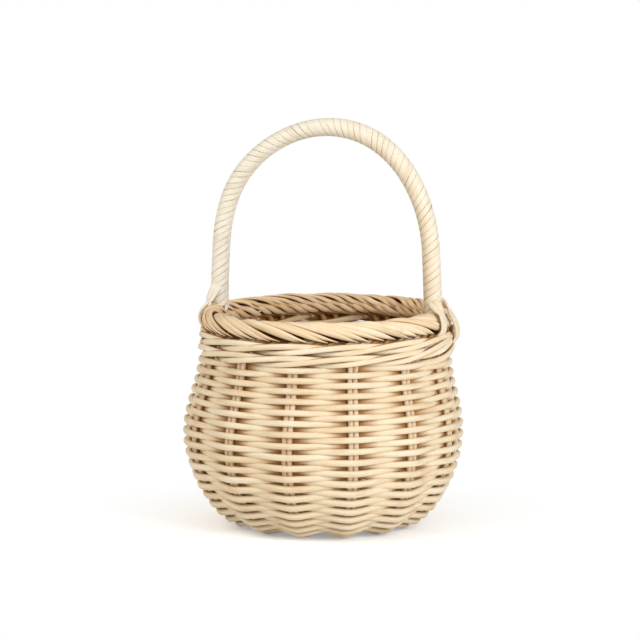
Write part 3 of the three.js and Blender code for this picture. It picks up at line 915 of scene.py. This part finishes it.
def handle_core():
    point, normal = HANDLE.at(np.linspace(0, HANDLE.length, CORE_POINTS))
    build = Build()
    build.tube(upright(point), CORE / 2 + CORE_MORE, upright(normal), even_shade(0), sides=CORE_SIDES)
    build.piece("handle_cane", ["handle_core"], "core_rattan", core_cane)


def handle_place(along, radius, turn):
    """A place so far along the handle, so far from its line, and so far round it from its outer side."""
    point, normal = HANDLE.at(along)
    place = upright(point + normal * (radius * np.cos(turn))[..., None])
    place[..., 1] = radius * np.sin(turn)
    return place


def handle_wrap(strand):
    lead = HANDLE.length / (WRAP_TURNS + 1 / WRAP_STRANDS)
    t = np.linspace(0, WRAP_TURNS, int(WRAP_TURNS * WRAP_STEPS) + 1)
    turn = TAU * (t + strand / WRAP_STRANDS) + WRAP_WANDER * wander(t, WRAP_WANDER_REACH, WRAP_SEED + strand)
    seam = SEAM_OPEN + SEAM_WANDER * wander(t, SEAM_WANDER_REACH, SEAM_SEED + strand)
    seam = np.clip(seam - SEAM_INSIDE * np.cos(turn), SEAM_LEAST, 1)
    rings = np.stack([handle_place(lead * (t + share / WRAP_STRANDS),
                                   CORE / 2 + WRAP_THICK - SEAM_DEPTH * (1 - full) * seam, turn)
                      for share, full in WRAP_SECTION], 1)
    across = lengths(rings[WRAP_STEPS])
    across = np.append(across, across[-1] + WRAP_UNDERSIDE)
    along = t * math.hypot(lead, TAU * WRAP_RADIUS)
    edge = 1 - np.array([full for _, full in WRAP_SECTION])
    seam_shade = SEAM_SHADE * seam * (SEAM_SHADE_EVEN - SEAM_SHADE_INSIDE * np.cos(turn))
    # Painted shade, fullest at the right foot and on the inside of the arch
    toward_right_foot = 1 - smooth(t / WRAP_TURNS, *RIGHT_FOOT_SHADE_SHARES)
    leg_shade = toward_right_foot * (RIGHT_FOOT_SHADE + ARCH_INSIDE_SHADE * (1 - np.cos(turn)))
    shade = edge[None] / edge.max() * seam_shade[:, None] + leg_shade[:, None]
    build = Build()
    build.sweep(rings, across + WRAP_SHIFT_ACROSS * strand, along + WRAP_SHIFT_ALONG * strand, shade)
    build.piece(f"handle_wrap_strand_{strand + 1}", [f"handle_wrap_{strand + 1}"], "peel", peel)


# Lashings: bands of two strands that leave the leg and go down over the border beside it. Their places are
# (outward, aside, up) from the middle of the roll at the foot.
LASHING_LINES = {
    ("left", "near"): [(-1.2, 3.4, 17.6), (0.8, 5.0, 14.4), (2.5, 5.7, 11.0),
                       (4.2, 6.9, 7.2), (6.2, 8.2, 4.2), (7.9, 9.9, 0.4),
                       (7.9, 11.5, -3.2), (6.0, 13.0, -6.0), (2.4, 14.2, -7.0)],
    ("left", "far"): [(-0.6, 3.6, 13.0), (1.4, 5.2, 10.8), (3.6, 6.0, 8.2), (5.8, 6.6, 5.0),
                      (7.3, 7.4, 0.4), (6.6, 7.6, -4.0), (4.0, 7.6, -6.6), (0.5, 7.6, -6.8)],
    ("right", "far"): [(-0.8, 3.8, 13.4), (2.4, 5.2, 11.8), (5.6, 5.4, 9.4), (7.8, 7.0, 5.2),
                       (9.2, 9.6, -0.5), (9.2, 11.4, -6.0), (7.8, 12.0, -10.4), (5.4, 12.0, -12.6)],
    ("right", "near"): [(-0.8, 3.2, 13.6), (1.8, 4.8, 11.6), (4.6, 5.0, 9.2), (7.0, 5.0, 5.2),
                        (8.0, 5.6, 0.4), (7.2, 6.6, -3.8), (4.4, 7.4, -6.4), (0.8, 7.8, -6.8)],
}
LASHING_POINTS = 72
LASHING_TIP = (62, 71)
LASHING_TIP_NARROWS = 0.7
LASHING_HALF = 1.75
LASHING_THICK = 0.5
LASHING_SQUARE = 2.6
LASHING_LANES = (-1.5, 1.5)
# Painted shade on the bands, darker at the right foot like the right leg's painted shade
LASHING_SHADES = {"left": 0.03, "right": 0.2}
# Between these heights above the roll a band turns from the leg's face to the roll's
LASHING_TURN = (5.5, 9.5)


def lashing(foot, where):
    centre = spline(LASHING_LINES[foot, where], LASHING_POINTS)
    on_leg = smooth(centre[:, 2], *LASHING_TURN)[:, None]
    ring = centre * LEVEL + [ROLL_RADIUS, 0, 0]
    beyond = np.linalg.norm(ring, axis=1) - ROLL_RADIUS
    from_roll = unit(ring) * beyond[:, None] + centre * UP
    normal = unit(on_leg * (centre * LEVEL) + (1 - on_leg) * from_roll)
    across = np.cross(normal, unit(np.gradient(centre, axis=0)))
    out = 1 if foot == "right" else -1
    mirror = [out, 1 if where == "far" else -1, 1]
    size = LASHING_HALF - LASHING_TIP_NARROWS * smooth(np.arange(LASHING_POINTS), *LASHING_TIP)
    build = Build()
    for lane in LASHING_LANES:
        path = (centre + across * lane) * mirror + [out * ROLL_RADIUS, 0, ROLL_HEIGHT]
        build.tube(path, size, across * mirror, even_shade(LASHING_SHADES[foot]), thick=LASHING_THICK,
                   square=LASHING_SQUARE)
    build.piece(f"foot_band_{foot}_{where}", [f"foot_lashing_{foot}_{where}"], "peel", peel)


handle_core()
for strand in range(WRAP_STRANDS):
    handle_wrap(strand)
for foot, where in LASHING_LINES:
    lashing(foot, where)

# Ground and light, in metres
GROUND_HALF = 3
GROUND_BELOW = 0.0002
GROUND_GREY = (0.9, 0.9, 0.9, 1)
GROUND_LIFT = 0.3
GROUND_FADE = (0.06, 0.17)
WHITE = (1, 1, 1, 1)
AROUND = (1, 0.985, 0.96, 1)
AROUND_STRENGTH = 0.52
LIT_PLACE = (0, 0, 0.1)

# Camera, in metres. A pixel is its size at the object.
VIEW_AZIMUTH = math.radians(22)
VIEW_ELEVATION = math.radians(7)
VIEW_DISTANCE = 1.8
PIXEL = 0.5735e-3
PICTURE_WIDTH = 640
SENSOR = 36
AIM_HEIGHT = 0.11884
AIM_LEFT = 0.00275


def ground_material():
    """A pale floor near the object, which fades to a plain white ground further out."""
    material = bpy.data.materials.new("ground")
    tree = Tree(material)
    seen = tree.node("ShaderNodeLightPath", {})["Is Camera Ray"]
    place = tree.node("ShaderNodeTexCoord", {})["Object"]
    distance = tree.node("ShaderNodeVectorMath", {0: place}, operation="LENGTH")["Value"]
    pale = tree.node("ShaderNodeBsdfDiffuse", {"Color": GROUND_GREY})[0]
    lift = tree.node("ShaderNodeEmission", {"Strength": tree.times(seen, GROUND_LIFT)})[0]
    near = tree.node("ShaderNodeAddShader", {0: pale, 1: lift})[0]
    white = tree.node("ShaderNodeEmission", {"Color": WHITE})[0]
    far = tree.times(tree.ramp(distance, *GROUND_FADE), seen)
    surface = tree.node("ShaderNodeMixShader", {0: far, 1: near, 2: white})[0]
    tree.node("ShaderNodeOutputMaterial", {"Surface": surface})
    return material


def lay_ground():
    half = GROUND_HALF
    mesh = bpy.data.meshes.new("ground")
    mesh.from_pydata([(-half, -half, 0), (half, -half, 0), (half, half, 0), (-half, half, 0)], [],
                     [(0, 1, 2, 3)])
    mesh.materials.append(ground_material())
    ground = bpy.data.objects.new("ground", mesh)
    ground.location = (0, 0, -GROUND_BELOW)
    bpy.context.scene.collection.objects.link(ground)


def light_around():
    """A soft light from all round, and plain white behind the object."""
    world = bpy.data.worlds.new("world")
    tree = Tree(world)
    seen = tree.node("ShaderNodeLightPath", {})["Is Camera Ray"]
    around = tree.node("ShaderNodeBackground", {"Color": AROUND, "Strength": AROUND_STRENGTH})[0]
    white = tree.node("ShaderNodeBackground", {"Color": WHITE, "Strength": 1.0})[0]
    surface = tree.node("ShaderNodeMixShader", {0: seen, 1: around, 2: white})[0]
    tree.node("ShaderNodeOutputWorld", {"Surface": surface})
    bpy.context.scene.world = world


def light(name, energy, size, place, color):
    data = bpy.data.lights.new(name, "AREA")
    data.energy = energy
    data.color = color
    data.shape = "DISK"
    data.size = size
    lamp = bpy.data.objects.new(name, data)
    lamp.location = place
    lamp.rotation_euler = (Vector(LIT_PLACE) - Vector(place)).to_track_quat("-Z", "Y").to_euler()
    bpy.context.scene.collection.objects.link(lamp)


def place_camera():
    level = math.cos(VIEW_ELEVATION)
    back = Vector((math.sin(VIEW_AZIMUTH) * level, -math.cos(VIEW_AZIMUTH) * level, math.sin(VIEW_ELEVATION)))
    right = Vector((math.cos(VIEW_AZIMUTH), math.sin(VIEW_AZIMUTH), 0))
    data = bpy.data.cameras.new("camera")
    data.sensor_width = SENSOR
    data.lens = VIEW_DISTANCE / PIXEL / PICTURE_WIDTH * SENSOR
    camera = bpy.data.objects.new("camera", data)
    camera.location = Vector((0, 0, AIM_HEIGHT)) - right * AIM_LEFT + back * VIEW_DISTANCE
    camera.rotation_euler = (-back).to_track_quat("-Z", "Y").to_euler()
    bpy.context.scene.collection.objects.link(camera)
    bpy.context.scene.camera = camera


lay_ground()
light_around()
light("key", energy=11.6, size=0.8, place=(1.09, -0.6, 0.6), color=(0.98, 1.02, 1.06))
light("fill", energy=10.5, size=1.2, place=(-0.75, -1.05, 1.05), color=(1, 0.96, 0.89))
place_camera()
bpy.context.scene.view_settings.view_transform = "Standard"
